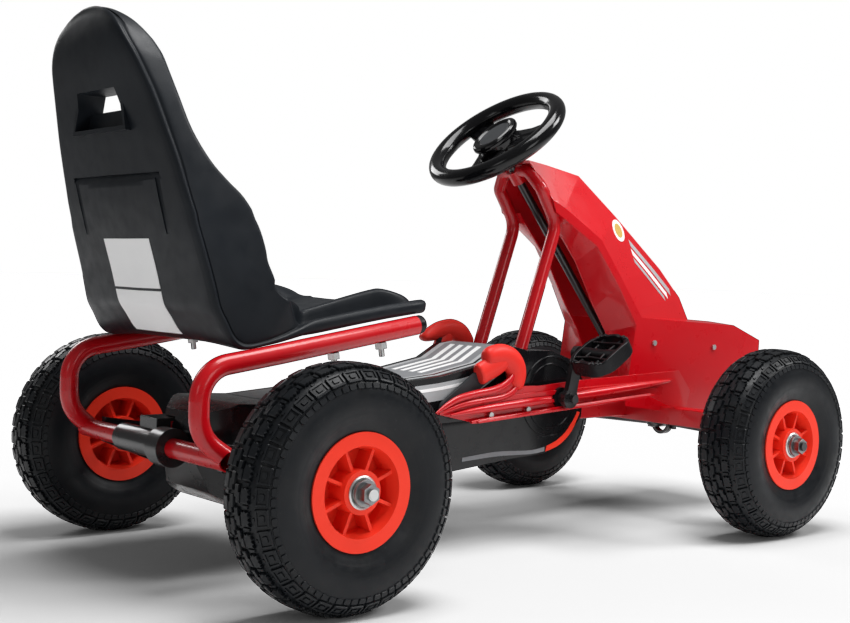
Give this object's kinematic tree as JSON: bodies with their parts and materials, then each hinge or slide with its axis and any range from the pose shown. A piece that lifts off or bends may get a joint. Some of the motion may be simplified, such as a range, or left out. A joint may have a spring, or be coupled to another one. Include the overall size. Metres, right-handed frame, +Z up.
{
  "type": "pedal go-kart",
  "caption": "Child's pedal go-kart: tube and sheet chassis, moulded bucket seat, steering wheel and column, nose fairing, chain drive, hand levers and pneumatic wheels.",
  "frame": {"origin": "on the floor, midway between the axles, on the kart's centre plane", "axes": "+X forward, +Y to the driver's left, +Z up"},
  "size_m": [1.098, 0.628, 0.631],
  "materials": {
    "frame_red": "gloss",
    "fairing_red": "gloss",
    "black_steel": "satin",
    "grey_steel": "satin",
    "seat_black": "satin",
    "guard_black": "gloss",
    "gloss_black": "gloss",
    "black_plastic": "satin",
    "grip_red": "satin",
    "zinc": "satin",
    "chain_steel": "satin",
    "friction": "matt",
    "rim_red": "satin",
    "tyre": "matt",
    "tube_rubber": "matt"
  },
  "bodies": {
    "chassis": {"main_beam": "frame_red", "rear_cross_tube": "frame_red", "cross_tube_clamp": "black_steel", "seat_rail_right": "frame_red", "seat_rail_left": "frame_red", "axle_brackets": "black_steel", "side_rail_right": "frame_red", "side_rail_left": "frame_red", "crank_bushes": "black_plastic", "hoop_foot_bar": "frame_red", "steering_hoop": "frame_red", "column_lower_bracket": "black_steel", "front_axle_beam": "frame_red", "kingpin_brackets": "black_steel", "nose_fairing": "fairing_red", "chain_guard_upper": "guard_black", "chain_guard_lower": "guard_black", "seat_shell": "seat_black", "frame_bolts": "zinc", "rail_plugs": "black_plastic", "chain": "chain_steel", "brake_shoe_bracket": "black_steel"},
    "steering": {"steering_column": "black_steel", "steering_wheel": "gloss_black", "steering_cap": "gloss_black"},
    "knuckle_right": {"knuckle_right": "black_steel", "axle_nut_front_right": "zinc"},
    "knuckle_left": {"knuckle_left": "black_steel", "axle_nut_front_left": "zinc"},
    "tie_rod_right": {"tie_rod_right": "black_steel"},
    "tie_rod_left": {"tie_rod_left": "black_steel"},
    "wheel_front_right": {"tyre_front_right": "tyre", "inner_tube_front_right": "tube_rubber", "rim_front_right": "rim_red", "hub_bearings_front_right": "zinc"},
    "wheel_front_left": {"tyre_front_left": "tyre", "inner_tube_front_left": "tube_rubber", "rim_front_left": "rim_red", "hub_bearings_front_left": "zinc"},
    "rear_axle": {"rear_axle_shaft": "zinc", "rear_axle_nuts": "zinc", "rear_sprocket": "chain_steel", "brake_drum": "zinc", "tyre_rear_right": "tyre", "inner_tube_rear_right": "tube_rubber", "rim_rear_right": "rim_red", "hub_bearings_rear_right": "zinc"},
    "wheel_rear_left": {"tyre_rear_left": "tyre", "inner_tube_rear_left": "tube_rubber", "rim_rear_left": "rim_red", "hub_bearings_rear_left": "zinc"},
    "crank": {"crank_shaft": "black_steel", "chainring": "chain_steel"},
    "pedal_right": {"pedal_right": "black_plastic"},
    "pedal_left": {"pedal_left": "black_plastic"},
    "brake_lever": {"brake_lever": "grey_steel", "brake_grip": "grip_red"},
    "gear_lever": {"gear_lever": "black_steel", "gear_grip": "grip_red"},
    "brake_shoe": {"brake_shoe": "friction"}
  },
  "joints": [
    {"name": "steering_turn", "type": "hinge", "parent": "chassis", "child": "steering", "pos_m": [0.0639, 0, 0.5408], "axis": [-0.6428, 0, 0.766], "range_deg": [-35, 35]},
    {"name": "knuckle_right_turn", "type": "hinge", "parent": "chassis", "child": "knuckle_right", "pos_m": [0.375, -0.182, 0.13], "axis": [0, 0, 1], "range_deg": [-15, 15]},
    {"name": "knuckle_left_turn", "type": "hinge", "parent": "chassis", "child": "knuckle_left", "pos_m": [0.375, 0.182, 0.13], "axis": [0, 0, 1], "range_deg": [-15, 15]},
    {"name": "tie_rod_right_turn", "type": "hinge", "parent": "knuckle_right", "child": "tie_rod_right", "pos_m": [0.42, -0.182, 0.125], "axis": [0, 0, 1], "range_deg": [-15, 15]},
    {"name": "tie_rod_left_turn", "type": "hinge", "parent": "knuckle_left", "child": "tie_rod_left", "pos_m": [0.42, 0.182, 0.125], "axis": [0, 0, 1], "range_deg": [-15, 15]},
    {"name": "front_right_wheel_spin", "type": "hinge", "parent": "knuckle_right", "child": "wheel_front_right", "pos_m": [0.375, -0.249, 0.13], "axis": [0, 1, 0], "continuous": true},
    {"name": "front_left_wheel_spin", "type": "hinge", "parent": "knuckle_left", "child": "wheel_front_left", "pos_m": [0.375, 0.249, 0.13], "axis": [0, 1, 0], "continuous": true},
    {"name": "rear_axle_spin", "type": "hinge", "parent": "chassis", "child": "rear_axle", "pos_m": [-0.375, 0, 0.13], "axis": [0, 1, 0], "continuous": true},
    {"name": "rear_left_wheel_spin", "type": "hinge", "parent": "rear_axle", "child": "wheel_rear_left", "pos_m": [-0.375, 0.261, 0.13], "axis": [0, 1, 0], "continuous": true},
    {"name": "crank_spin", "type": "hinge", "parent": "chassis", "child": "crank", "pos_m": [0.098, 0, 0.19], "axis": [0, 1, 0], "continuous": true},
    {"name": "pedal_right_spin", "type": "hinge", "parent": "crank", "child": "pedal_right", "pos_m": [0.11195, -0.165, 0.25041], "axis": [0, 1, 0], "continuous": true},
    {"name": "pedal_left_spin", "type": "hinge", "parent": "crank", "child": "pedal_left", "pos_m": [0.08405, 0.165, 0.12959], "axis": [0, 1, 0], "continuous": true},
    {"name": "brake_lever_turn", "type": "hinge", "parent": "chassis", "child": "brake_lever", "pos_m": [-0.095, -0.096, 0.183], "axis": [0, -1, 0], "range_deg": [0, 30]},
    {"name": "gear_lever_turn", "type": "hinge", "parent": "chassis", "child": "gear_lever", "pos_m": [0.005, 0.0625, 0.183], "axis": [0, -1, 0], "range_deg": [0, 25]},
    {"name": "brake_shoe_press", "type": "slide", "parent": "chassis", "child": "brake_shoe", "axis": [0, 0, -1], "range_m": [0, 0.003]}
  ],
  "couplings": [
    {"joint": "knuckle_right_turn", "follows": "steering_turn", "ratio": 0.42},
    {"joint": "knuckle_left_turn", "follows": "steering_turn", "ratio": 0.42},
    {"joint": "tie_rod_right_turn", "follows": "steering_turn", "ratio": -0.42},
    {"joint": "tie_rod_left_turn", "follows": "steering_turn", "ratio": -0.42},
    {"joint": "crank_spin", "follows": "rear_axle_spin", "ratio": 0.75},
    {"joint": "brake_shoe_press", "follows": "brake_lever_turn", "m_per_rad": 0.0057}
  ]
}
